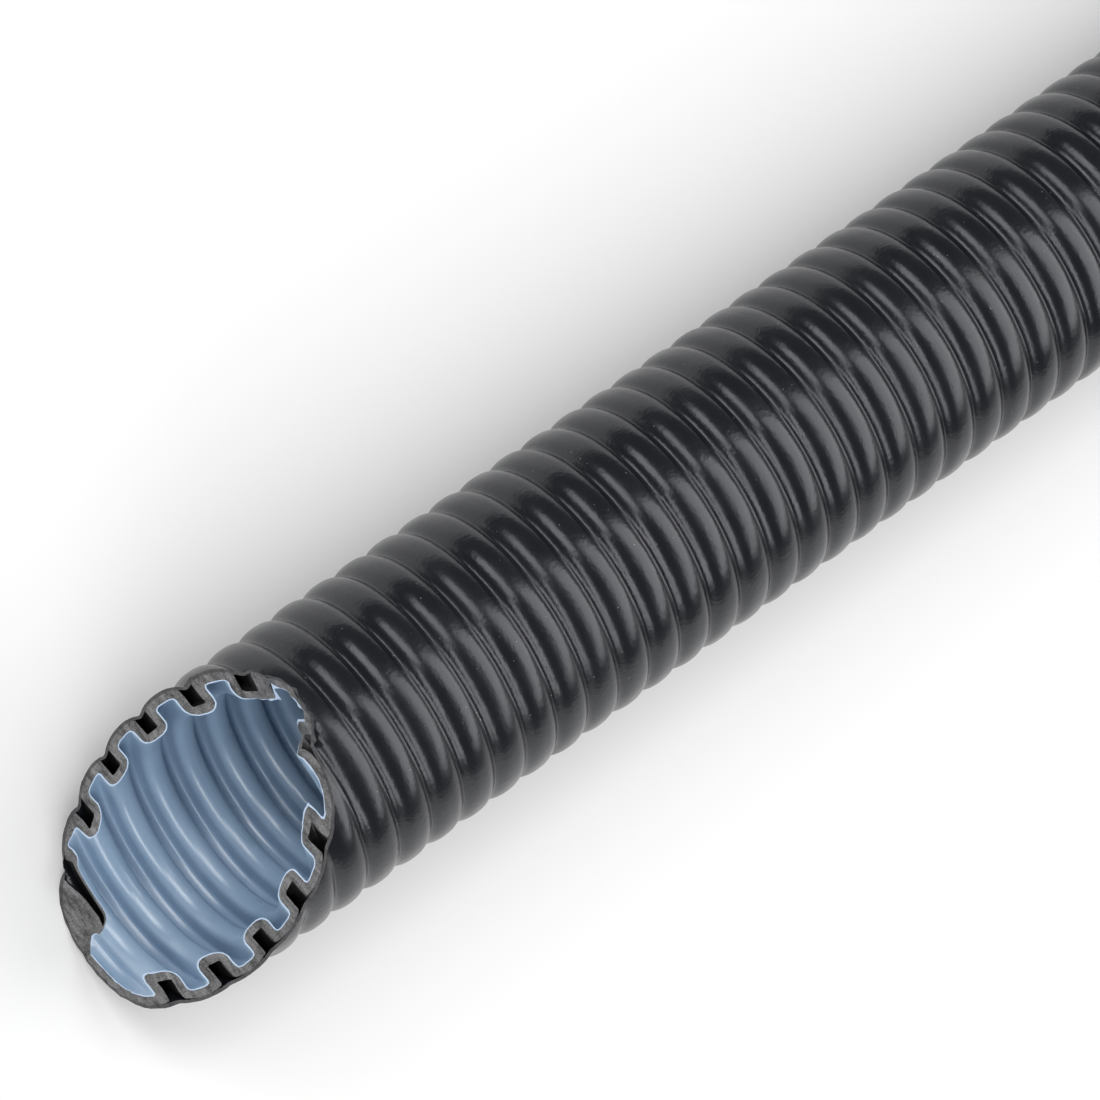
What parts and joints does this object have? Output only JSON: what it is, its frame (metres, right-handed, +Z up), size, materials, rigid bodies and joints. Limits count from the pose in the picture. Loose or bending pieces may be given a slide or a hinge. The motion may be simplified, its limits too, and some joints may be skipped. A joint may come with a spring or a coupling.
{
  "type": "corrugated conduit",
  "caption": "Straight cut length of corrugated cable conduit: thin glossy sheath over a ribbed wall with a slippery inner layer; one end cut at a slant, the other square.",
  "frame": {"origin": "on the floor under the middle of the tube's length, below the tube's axis", "axes": "+X along the tube's axis from the slanted end to the square end, +Z up, +Y to the left when looking along +X; the long lip of the slanted end is 25.7 degrees from the bottom, towards -Y, where the piece comes to rest"},
  "size_m": [0.9988, 0.025, 0.025],
  "materials": {
    "sheath": "smooth, glossy near-black soft plastic",
    "corrugated_wall": "dark grey, rough where the knife went through",
    "slide_layer": "smooth, satin to glossy light blue"
  },
  "bodies": {
    "root": {"sheath": "sheath", "corrugated_wall": "corrugated_wall", "slide_layer": "slide_layer"}
  },
  "joints": []
}
